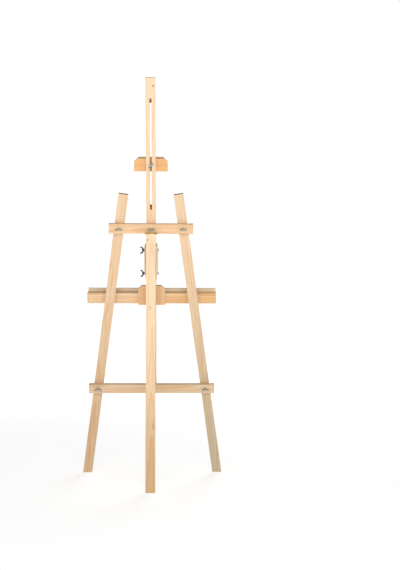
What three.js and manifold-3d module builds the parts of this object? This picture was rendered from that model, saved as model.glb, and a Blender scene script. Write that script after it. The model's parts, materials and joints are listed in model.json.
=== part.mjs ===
// A-frame studio easel in pine: two splayed legs and a slotted mast bolted to two crossbars,
// a hinged rear leg, a tray carriage that slides on the mast, and a top clamp in its slot.
//
// Millimetres, +Z up. The painter stands on the -Y side and the rear leg swings out to +Y.
// Everything but the rear leg is drawn in the leaning frame's own axes: X across, Y out of the
// back of the frame, Z up along it. Y = 0 is the back face of the legs and the mast, and Z = 0
// is the floor at that face. Left and right are the painter's, so right is +X.

import * as THREE from "three";
import { mergeVertices } from "three/addons/utils/BufferGeometryUtils.js";
import Module from "manifold-3d";

const wasm = await Module();
wasm.setup();

const DEGREE = Math.PI / 180;
const QUARTER_TURN = 90 * DEGREE;

// Stance.
const LEAN = 14 * DEGREE;
const REAR_LEG_RAKE = 2 * DEGREE;
const FOOT_SPREAD = 291;
const SHOULDER_SPREAD = 133;

// Pine stock, and the gap that is left between pieces that touch.
const STOCK_WIDTH = 40;
const STOCK_THICKNESS = 20;
const GAP = 0.3;

// Frame. Heights are measured along the leaning frame, to the middle of a bar.
const UPPER_BAR_HEIGHT = 1127;
const LOWER_BAR_HEIGHT = 413;
const UPPER_BAR_OVERHANG = 42;
const LOWER_BAR_OVERHANG = 40;
const LEG_ABOVE_BOLT = 143;
const MAST_ABOVE_BAR = 591;
const MAST_FOOT_INSET = 5;

// Slot for the top clamp. Its ends are ramped, so it is longer in the back face.
const SLOT_BELOW_MAST_TOP = 100;
const SLOT_ABOVE_BAR = 75;
const SLOT_RAMP = 18;
const SLOT_CLEARANCE = 1;

// Fasteners: 6 mm carriage bolts with wing nuts, and countersunk wood screws.
const BOLT_DIAMETER = 6;
const BOLT_HEAD_DIAMETER = 15;
const BOLT_HEAD_HEIGHT = 3.5;
const BOLT_NECK_LENGTH = 3.5;
const BOLT_DOME = [[0, 1], [0.5, 0.86], [0.87, 0.5], [1, 0.1]];
const BOLT_PAST_NUT = 2;
const BOLT_END_CHAMFER = 1;
const HOLE_CLEARANCE = 0.3;
const WASHER_DIAMETER = 13.5;
const WASHER_THICKNESS = 1.6;
const NUT_BOSS_DIAMETER = 12.5;
const NUT_BOSS_HEIGHT = 8;
const NUT_FLANGE_HEIGHT = 1.5;
const NUT_CROWN_SHARE = 0.78;
const WING_SPAN = 33;
const WING_HEIGHT = 16;
const WING_TIP_RADIUS = 3.4;
const WING_TIP_ARC = 150;
const WING_THICKNESS = 2.8;
const WING_ROOT = { foot: 1, top: 6.4, insideBoss: 0.7 };
const WING_CURVE = { below: 3, beyondBoss: 1.25, above: 8.4 };
const WOOD_SCREW = { head: 8, shank: 4 };
const HINGE_SCREW = { head: 6, shank: 3 };

// Brass butt hinge between the upper crossbar and the rear leg.
const HINGE_WIDTH = 50;
const HINGE_LEAF_THICKNESS = 1.8;
const HINGE_LEAF_DEPTH = 17;
const HINGE_BARREL_DIAMETER = 6;
const HINGE_PIN_DIAMETER = 3;
const HINGE_KNUCKLES = 5;
const HINGE_SCREW_SPACING = 28;
const HINGE_SCREW_LENGTH = 20;
const REAR_LEG_STANDOFF = 2.3;

// Top clamp.
const CLAMP_ABOVE_SLOT_FOOT = 167;
const CLAMP_WIDTH = 138;
const CLAMP_HEIGHT = 53;
const CLAMP_THICKNESS = 15;
const CLAMP_CHAMFER = { across: 14, down: 13 };
const CLAMP_BOLT_BELOW_TOP = 24;
const CLAMP_LEDGE = { width: 106, depth: 24, thickness: 14 };
const CLAMP_LIP = { thickness: 9, drop: 10 };
const CLAMP_SCREW_SPACING = 24;
const CLAMP_SCREW_LENGTH = 30;

// Tray carriage.
const CARRIAGE_BELOW_BAR = 55;
const CARRIER_LENGTH = 270;
const CARRIER_THICKNESS = 20;
const CHEEK_THICKNESS = 8;
const CHEEK_LENGTH = 146;
const CHEEK_BEHIND_MAST = 17;
const CHEEK_TOP_CHAMFER = { across: 4, down: 9 };
const CHEEK_FOOT_TAPER = { across: 6, up: 38 };
const CLAMP_ROD_BEHIND_MAST = 8;
const CLAMP_ROD_DROPS = [18, 119];
const CHEEK_SCREW_DROPS = [45, 95];
const CHEEK_SCREW_LENGTH = 24;
const BRACKET = { width: 115, height: 87, thickness: 12, drop: 187 };
const BRACKET_CHAMFER = { across: 16, down: 14 };
const TRAY_LENGTH = 555;
const RAIL = { height: 46, thickness: 15, aboveBracketFoot: 3 };
const RAIL_SCREW_SPACING = 76;
const RAIL_SCREW_LENGTH = 24;
const TRAY_FLOOR = { depth: 40, thickness: 14, belowRailTop: 6 };
const TRAY_GROOVE = { width: 17, depth: 6, behindLip: 3 };
const TRAY_LIP = { thickness: 12, aboveFloor: 11 };
const TRAY_SCREW_SPACING = 230;
const TRAY_SCREW_LENGTH = 38;

const MAST_SCREW_LENGTH = 35;
const MAST_SCREW_OFFSET = { across: 10, up: 8 };

const CURVE_STEPS = 4;
const ROUND_STEPS = 12;
const THROUGH = 2;

// Places worked out from the sizes above, in the leaning frame's axes.
const half = (size) => size / 2;
const SIDES = [-1, 1];
const barFront = GAP;
const barBack = barFront + STOCK_THICKNESS;
const mastFront = -STOCK_THICKNESS;
const splay = Math.atan((FOOT_SPREAD - SHOULDER_SPREAD) / UPPER_BAR_HEIGHT);
const upperBarTop = UPPER_BAR_HEIGHT + half(STOCK_WIDTH);
const upperBarFoot = UPPER_BAR_HEIGHT - half(STOCK_WIDTH);
const mastTop = upperBarTop + MAST_ABOVE_BAR;
const mastFoot = LOWER_BAR_HEIGHT - half(STOCK_WIDTH) + MAST_FOOT_INSET;
const slotTop = mastTop - SLOT_BELOW_MAST_TOP;
const slotFoot = upperBarTop + SLOT_ABOVE_BAR;
const slotWidth = BOLT_DIAMETER + 2 * SLOT_CLEARANCE;
const legCentre = (height) => FOOT_SPREAD - height * Math.tan(splay);

const clampBolt = slotFoot + CLAMP_ABOVE_SLOT_FOOT;
const clampTop = clampBolt + CLAMP_BOLT_BELOW_TOP;
const clampBack = mastFront - GAP;
const clampFront = clampBack - CLAMP_THICKNESS;
const ledgeFront = clampFront - GAP - CLAMP_LEDGE.depth;

const carriageTop = upperBarFoot - CARRIAGE_BELOW_BAR;
const carrierFront = mastFront - GAP - CARRIER_THICKNESS;
const cheekInner = half(STOCK_WIDTH) + GAP;
const cheekOuter = cheekInner + CHEEK_THICKNESS;
const bracketTop = carriageTop - BRACKET.drop;
const bracketFoot = bracketTop - BRACKET.height;
const bracketFront = carrierFront - GAP - BRACKET.thickness;
const railFoot = bracketFoot + RAIL.aboveBracketFoot;
const railTop = railFoot + RAIL.height;
const railFront = bracketFront - GAP - RAIL.thickness;
const trayFloorTop = railTop - TRAY_FLOOR.belowRailTop;
const trayFloorFoot = trayFloorTop - TRAY_FLOOR.thickness;
const trayFloorFront = railFront - GAP - TRAY_FLOOR.depth;
const trayLipFront = trayFloorFront - GAP - TRAY_LIP.thickness;

const barrelRadius = half(HINGE_BARREL_DIAMETER);
const hingePin = {
  y: barBack + GAP + barrelRadius,
  z: upperBarFoot - GAP - HINGE_LEAF_THICKNESS + barrelRadius,
};
const hingePinHeight = hingePin.z * Math.cos(LEAN) - hingePin.y * Math.sin(LEAN);
const rearLegFront = barBack + REAR_LEG_STANDOFF - hingePin.y;

// The origin lies under the middle of the easel: between the front of the feet and the mast's top.
const footFront = -STOCK_THICKNESS / Math.cos(LEAN);
const middleY = half(footFront + mastTop * Math.sin(LEAN));

const pine = new THREE.MeshStandardMaterial({ color: 0xe9c591, roughness: 0.62, metalness: 0 });
const warmPine = new THREE.MeshStandardMaterial({ color: 0xe0a56a, roughness: 0.6, metalness: 0 });
const zincSteel = new THREE.MeshStandardMaterial({ color: 0x9aa0a6, roughness: 0.35, metalness: 1 });
const brass = new THREE.MeshStandardMaterial({ color: 0x9c8440, roughness: 0.4, metalness: 1 });

const easel = new THREE.Group();
const frame = new THREE.Group();
frame.rotation.x = -LEAN;
frame.position.y = -middleY;
easel.add(frame);

// Solid modelling helpers.

// Returns a closed geometry as a solid, with its shared corners merged and its slivers left out.
function solid(geometry) {
  const bare = geometry.clone();
  bare.deleteAttribute("normal");
  bare.deleteAttribute("uv");
  const merged = mergeVertices(bare);
  const corners = merged.index.array;
  const triangles = [];
  for (let at = 0; at < corners.length; at += 3) {
    const [a, b, c] = corners.slice(at, at + 3);
    if (a !== b && b !== c && c !== a) {
      triangles.push(a, b, c);
    }
  }
  const places = Float32Array.from(merged.attributes.position.array);
  return new wasm.Manifold(new wasm.Mesh({
    numProp: 3,
    vertProperties: places,
    triVerts: Uint32Array.from(triangles),
  }));
}

// Returns a solid as a geometry with flat-shaded faces.
function geometryOf(shape) {
  const mesh = shape.getMesh();
  const geometry = new THREE.BufferGeometry();
  geometry.setAttribute("position", new THREE.BufferAttribute(mesh.vertProperties, 3));
  geometry.setIndex(new THREE.BufferAttribute(mesh.triVerts, 1));
  geometry.computeVertexNormals();
  return geometry;
}

// A box between two corners.
function box([x0, y0, z0], [x1, y1, z1]) {
  const block = new THREE.BoxGeometry(x1 - x0, y1 - y0, z1 - z0);
  return block.translate(half(x0 + x1), half(y0 + y1), half(z0 + z1));
}

// A round bar along +Z.
function rod(diameter, from, to) {
  const bar = new THREE.CylinderGeometry(half(diameter), half(diameter), to - from, ROUND_STEPS);
  return bar.rotateX(QUARTER_TURN).translate(0, 0, half(from + to));
}

// A turned shape about Z, from points of radius and height listed upwards from the axis.
function turned(profile) {
  const points = profile.map(([radius, height]) => new THREE.Vector2(radius, height));
  return new THREE.LatheGeometry(points, ROUND_STEPS).rotateX(QUARTER_TURN);
}

// A board with an outline in X and Z, and its faces at two depths.
function board(outline, back, front) {
  const plate = new THREE.ExtrudeGeometry(outline, {
    depth: back - front,
    bevelEnabled: false,
    curveSegments: CURVE_STEPS,
  });
  return plate.rotateX(QUARTER_TURN).translate(0, back, 0);
}

// A moulding along X with a profile in Y and Z.
function moulding(profile, length) {
  const outline = new THREE.Shape(profile.map(([y, z]) => new THREE.Vector2(y, z)));
  const bar = new THREE.ExtrudeGeometry(outline, { depth: length, bevelEnabled: false });
  return bar.rotateX(QUARTER_TURN).rotateZ(QUARTER_TURN).translate(-half(length), 0, 0);
}

// A block from eight corners: corner(side, face, end) gives each one, for arguments of -1 and 1.
function block(corner) {
  const places = SIDES.flatMap((end) => SIDES.flatMap((face) => SIDES.flatMap((side) => {
    return corner(side, face, end);
  })));
  const geometry = new THREE.BufferGeometry();
  geometry.setAttribute("position", new THREE.Float32BufferAttribute(places, 3));
  geometry.setIndex([
    0, 2, 3, 0, 3, 1, 4, 5, 7, 4, 7, 6, 0, 1, 5, 0, 5, 4,
    2, 6, 7, 2, 7, 3, 0, 4, 6, 0, 6, 2, 1, 3, 7, 1, 7, 5,
  ]);
  return geometry;
}

// Directions that a fastener can point in: each turns a shape along +Z to that direction.
const TOWARDS = {
  back: new THREE.Matrix4().makeRotationX(-QUARTER_TURN),
  front: new THREE.Matrix4().makeRotationX(QUARTER_TURN),
  right: new THREE.Matrix4().makeRotationY(QUARTER_TURN),
  left: new THREE.Matrix4().makeRotationY(-QUARTER_TURN),
  up: new THREE.Matrix4(),
  down: new THREE.Matrix4().makeRotationX(2 * QUARTER_TURN),
};

function placed(geometry, direction, place = [0, 0, 0]) {
  return geometry.applyMatrix4(TOWARDS[direction]).translate(...place);
}

// The place that lies this far ahead of another.
function ahead(place, direction, distance) {
  const step = new THREE.Vector3(0, 0, distance).applyMatrix4(TOWARDS[direction]);
  return step.add(new THREE.Vector3(...place)).toArray();
}

function cut(geometry, cutters) {
  const shape = cutters.reduce((rest, cutter) => rest.subtract(solid(cutter)), solid(geometry));
  return geometryOf(shape);
}

function addPiece(group, name, geometry, material) {
  const piece = new THREE.Mesh(geometry, material);
  piece.name = name;
  group.add(piece);
  return piece;
}

// Fasteners, each drawn along +Z from the face that it enters.

// The bolt enters at height 0 with its domed head below; its neck is square, to grip the wood.
function boltGeometry(grip) {
  const radius = half(BOLT_DIAMETER);
  const end = grip + WASHER_THICKNESS + NUT_BOSS_HEIGHT + BOLT_PAST_NUT;
  const head = half(BOLT_HEAD_DIAMETER);
  const underside = -GAP;
  const dome = BOLT_DOME.map(([across, down]) => {
    return [head * across, underside - BOLT_HEAD_HEIGHT * down];
  });
  const shape = turned([
    ...dome,
    [head, underside],
    [radius, underside],
    [radius, end - BOLT_END_CHAMFER],
    [radius - BOLT_END_CHAMFER, end],
    [0, end],
  ]);
  const neck = box([-radius, -radius, underside], [radius, radius, BOLT_NECK_LENGTH]);
  return geometryOf(solid(shape).add(solid(neck)));
}

function boltHole(grip) {
  return rod(BOLT_DIAMETER + 2 * HOLE_CLEARANCE, -THROUGH, grip + THROUGH);
}

function neckPocket() {
  const reach = half(BOLT_DIAMETER) + HOLE_CLEARANCE;
  return box([-reach, -reach, -THROUGH], [reach, reach, BOLT_NECK_LENGTH + HOLE_CLEARANCE]);
}

function washerGeometry() {
  const bore = half(BOLT_DIAMETER) + HOLE_CLEARANCE;
  const rim = half(WASHER_DIAMETER);
  const thickness = WASHER_THICKNESS - GAP;
  return turned([[bore, 0], [rim, 0], [rim, thickness], [bore, thickness], [bore, 0]]);
}

// One wing rises outwards from the boss to a round tip.
function wingOutline() {
  const tipX = half(WING_SPAN) - WING_TIP_RADIUS;
  const tipY = WING_HEIGHT - WING_TIP_RADIUS;
  const boss = half(NUT_BOSS_DIAMETER);
  const root = boss * WING_ROOT.insideBoss;
  const wing = new THREE.Shape();
  wing.moveTo(root, WING_ROOT.foot);
  wing.lineTo(boss, WING_ROOT.foot);
  wing.quadraticCurveTo(tipX, WING_CURVE.below, tipX + WING_TIP_RADIUS, tipY);
  wing.absarc(tipX, tipY, WING_TIP_RADIUS, 0, WING_TIP_ARC * DEGREE, false);
  wing.quadraticCurveTo(boss * WING_CURVE.beyondBoss, WING_CURVE.above, root, WING_ROOT.top);
  return wing;
}

function wingNutGeometry() {
  const bore = half(BOLT_DIAMETER) + HOLE_CLEARANCE;
  const foot = half(NUT_BOSS_DIAMETER);
  let nut = solid(turned([
    [bore, 0],
    [foot, 0],
    [foot, NUT_FLANGE_HEIGHT],
    [foot * NUT_CROWN_SHARE, NUT_BOSS_HEIGHT],
    [bore, NUT_BOSS_HEIGHT],
    [bore, 0],
  ]));
  const wing = board(wingOutline(), half(WING_THICKNESS), -half(WING_THICKNESS));
  for (const turn of [0, 2 * QUARTER_TURN]) {
    nut = nut.add(solid(wing.clone().rotateZ(turn)));
  }
  return geometryOf(nut);
}

// The outline of a countersunk screw, grown by a clearance, from its head's rim to its tip.
function screwOutline({ head, shank }, length, clearance) {
  const tip = length + clearance;
  const core = half(shank) + clearance;
  return [
    [half(head) + clearance, 0],
    [core, half(head - shank)],
    [core, tip - shank],
    [0, tip],
  ];
}

function screwGeometry(kind, length) {
  return turned([[0, 0], ...screwOutline(kind, length, 0)]);
}

// The hole that a screw fits, carried on out of the face that it enters.
function screwHole(kind, length, direction, place) {
  const rim = half(kind.head) + HOLE_CLEARANCE;
  const outline = [[0, -THROUGH], [rim, -THROUGH], ...screwOutline(kind, length, HOLE_CLEARANCE)];
  return placed(turned(outline), direction, place);
}

function addScrew(group, name, kind, length, direction, place, material = zincSteel) {
  addPiece(group, name, placed(screwGeometry(kind, length), direction, place), material);
}

// A bolt with its washer and wing nut, clamping a stack of the given thickness.
function addBoltSet(group, name, grip, direction, place, wingTurn = 0) {
  const washerPlace = ahead(place, direction, grip + GAP);
  const nutPlace = ahead(place, direction, grip + GAP + WASHER_THICKNESS);
  const nut = wingNutGeometry().rotateZ(wingTurn);
  addPiece(group, `${name}_bolt`, placed(boltGeometry(grip), direction, place), zincSteel);
  addPiece(group, `${name}_washer`, placed(washerGeometry(), direction, washerPlace), zincSteel);
  addPiece(group, `${name}_wing_nut`, placed(nut, direction, nutPlace), zincSteel);
}

// Frame.

const barGrip = STOCK_THICKNESS + GAP + STOCK_THICKNESS;

function barBolts(height) {
  const legs = SIDES.map((side) => [side * legCentre(height), mastFront, height]);
  return height === UPPER_BAR_HEIGHT ? [legs[0], [0, mastFront, height], legs[1]] : legs;
}

function mastScrews() {
  return SIDES.map((side) => [
    side * MAST_SCREW_OFFSET.across,
    barBack,
    LOWER_BAR_HEIGHT + side * MAST_SCREW_OFFSET.up,
  ]);
}

const mastScrewHoles = () => mastScrews().map((place) => {
  return screwHole(WOOD_SCREW, MAST_SCREW_LENGTH, "front", place);
});

// The leg is splayed in the frame; its foot is sawn level with the floor and its top square.
function addLeg(name, side) {
  const length = UPPER_BAR_HEIGHT / Math.cos(splay) + LEG_ABOVE_BOLT;
  const leg = block((edge, face, end) => {
    const across = edge * half(STOCK_WIDTH);
    const depth = face < 0 ? mastFront : 0;
    const level = (depth * Math.tan(LEAN) - side * across * Math.sin(splay)) / Math.cos(splay);
    const along = end < 0 ? level : length;
    return [
      side * FOOT_SPREAD + across * Math.cos(splay) - side * along * Math.sin(splay),
      depth,
      side * across * Math.sin(splay) + along * Math.cos(splay),
    ];
  });
  const holes = [UPPER_BAR_HEIGHT, LOWER_BAR_HEIGHT].flatMap((height) => {
    const place = [side * legCentre(height), mastFront, height];
    return [placed(boltHole(barGrip), "back", place), placed(neckPocket(), "back", place)];
  });
  addPiece(frame, name, cut(leg, holes), pine);
}

function addMast() {
  const blank = box([-half(STOCK_WIDTH), mastFront, mastFoot], [half(STOCK_WIDTH), 0, mastTop]);
  const slope = SLOT_RAMP / STOCK_THICKNESS;
  const slot = moulding([
    [mastFront - THROUGH, slotFoot],
    [mastFront, slotFoot],
    [THROUGH, slotFoot - SLOT_RAMP - slope * THROUGH],
    [THROUGH, slotTop + SLOT_RAMP + slope * THROUGH],
    [mastFront, slotTop],
    [mastFront - THROUGH, slotTop],
  ], slotWidth);
  const place = [0, mastFront, UPPER_BAR_HEIGHT];
  const hole = placed(boltHole(barGrip), "back", place);
  const pocket = placed(neckPocket(), "back", place);
  addPiece(frame, "mast", cut(blank, [slot, hole, pocket, ...mastScrewHoles()]), pine);
}

function addCrossbar(name, height, overhang, holes) {
  const reach = legCentre(height) + overhang;
  const bar = box(
    [-reach, barFront, height - half(STOCK_WIDTH)],
    [reach, barBack, height + half(STOCK_WIDTH)],
  );
  addPiece(frame, name, cut(bar, holes), pine);
}

function addFrame() {
  addLeg("left_leg", -1);
  addLeg("right_leg", 1);
  addMast();
  const holesAt = (height) => barBolts(height).map((place) => placed(boltHole(barGrip), "back", place));
  const upperHoles = [...holesAt(UPPER_BAR_HEIGHT), ...upperLeafScrews().map((place) => {
    return screwHole(HINGE_SCREW, HINGE_SCREW_LENGTH, "up", place);
  })];
  addCrossbar("upper_crossbar", UPPER_BAR_HEIGHT, UPPER_BAR_OVERHANG, upperHoles);
  const lowerHoles = [...holesAt(LOWER_BAR_HEIGHT), ...mastScrewHoles()];
  addCrossbar("lower_crossbar", LOWER_BAR_HEIGHT, LOWER_BAR_OVERHANG, lowerHoles);
  const upperNames = ["upper_left", "upper_centre", "upper_right"];
  barBolts(UPPER_BAR_HEIGHT).forEach((place, index) => {
    addBoltSet(frame, upperNames[index], barGrip, "back", place);
  });
  const lowerNames = ["lower_left", "lower_right"];
  barBolts(LOWER_BAR_HEIGHT).forEach((place, index) => {
    addBoltSet(frame, lowerNames[index], barGrip, "back", place);
  });
  mastScrews().forEach((place, index) => {
    addScrew(frame, `mast_screw_${index + 1}`, WOOD_SCREW, MAST_SCREW_LENGTH, "front", place);
  });
}

// Hinge. Both leaves are drawn lying flat, about a pin at the origin; the rear leg then swings out.

const knuckleWidth = HINGE_WIDTH / HINGE_KNUCKLES;

// One leaf: a plate to one side of the pin, its own knuckles, and room for the other leaf's.
function leafGeometry(towardsBack, ownKnuckle, screws) {
  const reach = barrelRadius + GAP;
  const plateEnd = towardsBack ? HINGE_LEAF_DEPTH : -HINGE_LEAF_DEPTH;
  let leaf = solid(box(
    [-half(HINGE_WIDTH), Math.min(0, plateEnd), -barrelRadius],
    [half(HINGE_WIDTH), Math.max(0, plateEnd), HINGE_LEAF_THICKNESS - barrelRadius],
  ));
  for (let knuckle = 0; knuckle < HINGE_KNUCKLES; knuckle += 1) {
    const start = knuckle * knuckleWidth - half(HINGE_WIDTH);
    if (ownKnuckle(knuckle)) {
      const tube = rod(HINGE_BARREL_DIAMETER, start, start + knuckleWidth);
      leaf = leaf.add(solid(placed(tube, "right")));
    }
  }
  for (let knuckle = 0; knuckle < HINGE_KNUCKLES; knuckle += 1) {
    const start = knuckle * knuckleWidth - half(HINGE_WIDTH);
    if (!ownKnuckle(knuckle)) {
      leaf = leaf.subtract(solid(box(
        [start - half(GAP), -reach, -reach - THROUGH],
        [start + knuckleWidth + half(GAP), reach, reach + THROUGH],
      )));
    }
  }
  const bore = rod(HINGE_PIN_DIAMETER + 2 * HOLE_CLEARANCE, -HINGE_WIDTH, HINGE_WIDTH);
  leaf = leaf.subtract(solid(placed(bore, "right")));
  for (const hole of screws) {
    leaf = leaf.subtract(solid(hole));
  }
  return geometryOf(leaf);
}

const hingeScrewPlaces = (depth, height) => SIDES.map((side) => {
  return [side * half(HINGE_SCREW_SPACING), depth, height];
});

function upperLeafScrews() {
  const depth = hingePin.y - barrelRadius - half(HINGE_LEAF_DEPTH - barrelRadius);
  return hingeScrewPlaces(depth, hingePin.z - barrelRadius);
}

function lowerLeafScrews() {
  const depth = barrelRadius + half(HINGE_LEAF_DEPTH - barrelRadius);
  return hingeScrewPlaces(depth, HINGE_LEAF_THICKNESS - barrelRadius);
}

function addHinge(rearLegGroup) {
  const isEven = (knuckle) => knuckle % 2 === 0;
  const isOdd = (knuckle) => knuckle % 2 === 1;
  const upperHoles = upperLeafScrews().map(([x, y, z]) => {
    const place = [x, y - hingePin.y, z - hingePin.z];
    return screwHole(HINGE_SCREW, HINGE_SCREW_LENGTH, "up", place);
  });
  const upperLeaf = leafGeometry(false, isEven, upperHoles);
  const upper = addPiece(frame, "hinge_upper_leaf", upperLeaf, brass);
  upper.position.set(0, hingePin.y, hingePin.z);
  const pinBar = rod(HINGE_PIN_DIAMETER, -half(HINGE_WIDTH), half(HINGE_WIDTH));
  const pin = addPiece(frame, "hinge_pin", placed(pinBar, "right"), brass);
  pin.position.copy(upper.position);
  upperLeafScrews().forEach((place, index) => {
    const name = `hinge_screw_${index + 1}`;
    addScrew(frame, name, HINGE_SCREW, HINGE_SCREW_LENGTH, "up", place, brass);
  });
  const lowerHoles = lowerLeafScrews().map((place) => {
    return screwHole(HINGE_SCREW, HINGE_SCREW_LENGTH, "down", place);
  });
  addPiece(rearLegGroup, "hinge_lower_leaf", leafGeometry(true, isOdd, lowerHoles), brass);
  lowerLeafScrews().forEach((place, index) => {
    const name = `hinge_screw_${index + 3}`;
    addScrew(rearLegGroup, name, HINGE_SCREW, HINGE_SCREW_LENGTH, "down", place, brass);
  });
}

// The rear leg hangs from the pin; its foot is sawn level with the floor when it stands open.
function addRearLeg() {
  const group = new THREE.Group();
  group.position.set(0, hingePin.y, hingePin.z);
  group.rotation.x = LEAN + REAR_LEG_RAKE;
  frame.add(group);
  const leg = block((side, face, end) => {
    const depth = rearLegFront + (face < 0 ? 0 : STOCK_THICKNESS);
    const floor = -(hingePinHeight + depth * Math.sin(REAR_LEG_RAKE)) / Math.cos(REAR_LEG_RAKE);
    return [side * half(STOCK_WIDTH), depth, end < 0 ? floor : -barrelRadius - GAP];
  });
  const holes = lowerLeafScrews().map((place) => {
    return screwHole(HINGE_SCREW, HINGE_SCREW_LENGTH, "down", place);
  });
  addPiece(group, "rear_leg", cut(leg, holes), pine);
  addHinge(group);
}

// Outline of a board with its two upper corners cut off.
function shoulderedOutline(width, foot, top, chamfer) {
  const side = half(width);
  return new THREE.Shape([
    [-side, foot],
    [side, foot],
    [side, top - chamfer.down],
    [side - chamfer.across, top],
    [-side + chamfer.across, top],
    [-side, top - chamfer.down],
  ].map(([x, z]) => new THREE.Vector2(x, z)));
}

// Top clamp: its bolt runs in the mast's slot, and its ledge holds the canvas from above.
function addClamp() {
  const grip = STOCK_THICKNESS + GAP + CLAMP_THICKNESS;
  const boltPlace = [0, clampFront, clampBolt];
  const ledgeFoot = clampTop - CLAMP_LEDGE.thickness;
  const ledgeBack = clampFront - GAP;
  const screws = SIDES.map((side) => [
    side * half(CLAMP_SCREW_SPACING),
    clampBack,
    clampTop - half(CLAMP_LEDGE.thickness),
  ]);
  const screwHoles = () => screws.map((place) => {
    return screwHole(WOOD_SCREW, CLAMP_SCREW_LENGTH, "front", place);
  });
  const outline = shoulderedOutline(CLAMP_WIDTH, clampTop - CLAMP_HEIGHT, clampTop, CLAMP_CHAMFER);
  const plate = cut(board(outline, clampBack, clampFront), [
    placed(boltHole(grip), "back", boltPlace),
    placed(neckPocket(), "back", boltPlace),
    ...screwHoles(),
  ]);
  const side = half(CLAMP_LEDGE.width);
  const ledge = box([-side, ledgeFront, ledgeFoot], [side, ledgeBack, clampTop]);
  const lip = box(
    [-side, ledgeFront - GAP - CLAMP_LIP.thickness, ledgeFoot - CLAMP_LIP.drop],
    [side, ledgeFront - GAP, clampTop],
  );
  addPiece(frame, "clamp_plate", plate, warmPine);
  addPiece(frame, "clamp_ledge", cut(ledge, screwHoles()), pine);
  addPiece(frame, "clamp_lip", lip, pine);
  addBoltSet(frame, "clamp", grip, "back", boltPlace, QUARTER_TURN / 2);
  screws.forEach((place, index) => {
    addScrew(frame, `clamp_screw_${index + 1}`, WOOD_SCREW, CLAMP_SCREW_LENGTH, "front", place);
  });
}

// Cheek outline: bevelled at its top and tapered at its foot, on the side away from the mast.
function cheekOutline(side) {
  const foot = carriageTop - CHEEK_LENGTH;
  return new THREE.Shape([
    [cheekInner, foot],
    [cheekOuter - CHEEK_FOOT_TAPER.across, foot],
    [cheekOuter, foot + CHEEK_FOOT_TAPER.up],
    [cheekOuter, carriageTop - CHEEK_TOP_CHAMFER.down],
    [cheekOuter - CHEEK_TOP_CHAMFER.across, carriageTop],
    [cheekInner, carriageTop],
  ].map(([x, z]) => new THREE.Vector2(side * x, z)));
}

function cheekScrews(side) {
  return CHEEK_SCREW_DROPS.map((drop) => [
    side * cheekOuter,
    half(mastFront - GAP + carrierFront),
    carriageTop - drop,
  ]);
}

const inwards = (side) => (side < 0 ? "right" : "left");

const cheekScrewHoles = (side) => cheekScrews(side).map((place) => {
  return screwHole(WOOD_SCREW, CHEEK_SCREW_LENGTH, inwards(side), place);
});

// Two cheeks flank the mast, and two bolts behind it squeeze them on to it.
function addCarriageSlide() {
  const grip = 2 * cheekOuter;
  const rods = CLAMP_ROD_DROPS.map((drop) => {
    return [-cheekOuter, CLAMP_ROD_BEHIND_MAST, carriageTop - drop];
  });
  const carrier = box(
    [-half(STOCK_WIDTH), carrierFront, carriageTop - CARRIER_LENGTH],
    [half(STOCK_WIDTH), mastFront - GAP, carriageTop],
  );
  const carrierHoles = [...cheekScrewHoles(-1), ...cheekScrewHoles(1), ...railScrewHoles()];
  addPiece(frame, "shelf_carrier", cut(carrier, carrierHoles), pine);
  for (const [name, side] of [["left_cheek", -1], ["right_cheek", 1]]) {
    const blank = board(cheekOutline(side), CHEEK_BEHIND_MAST, carrierFront);
    const holes = rods.flatMap((place) => [
      placed(boltHole(grip), "right", place),
      ...(side < 0 ? [placed(neckPocket(), "right", place)] : []),
    ]);
    addPiece(frame, name, cut(blank, [...holes, ...cheekScrewHoles(side)]), pine);
    cheekScrews(side).forEach((place, index) => {
      const screwName = `${name}_screw_${index + 1}`;
      addScrew(frame, screwName, WOOD_SCREW, CHEEK_SCREW_LENGTH, inwards(side), place);
    });
  }
  const rodNames = ["carriage_upper", "carriage_lower"];
  rods.forEach((place, index) => {
    addBoltSet(frame, rodNames[index], grip, "right", place);
  });
}

function railScrews() {
  return SIDES.map((side) => [
    side * half(RAIL_SCREW_SPACING),
    railFront,
    half(railFoot + trayFloorFoot),
  ]);
}

function railScrewHoles() {
  return railScrews().map((place) => screwHole(WOOD_SCREW, RAIL_SCREW_LENGTH, "back", place));
}

function trayScrews() {
  return [-1, 0, 1].map((step) => [
    step * TRAY_SCREW_SPACING,
    trayLipFront,
    trayFloorFoot + half(TRAY_FLOOR.thickness - TRAY_GROOVE.depth),
  ]);
}

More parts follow.
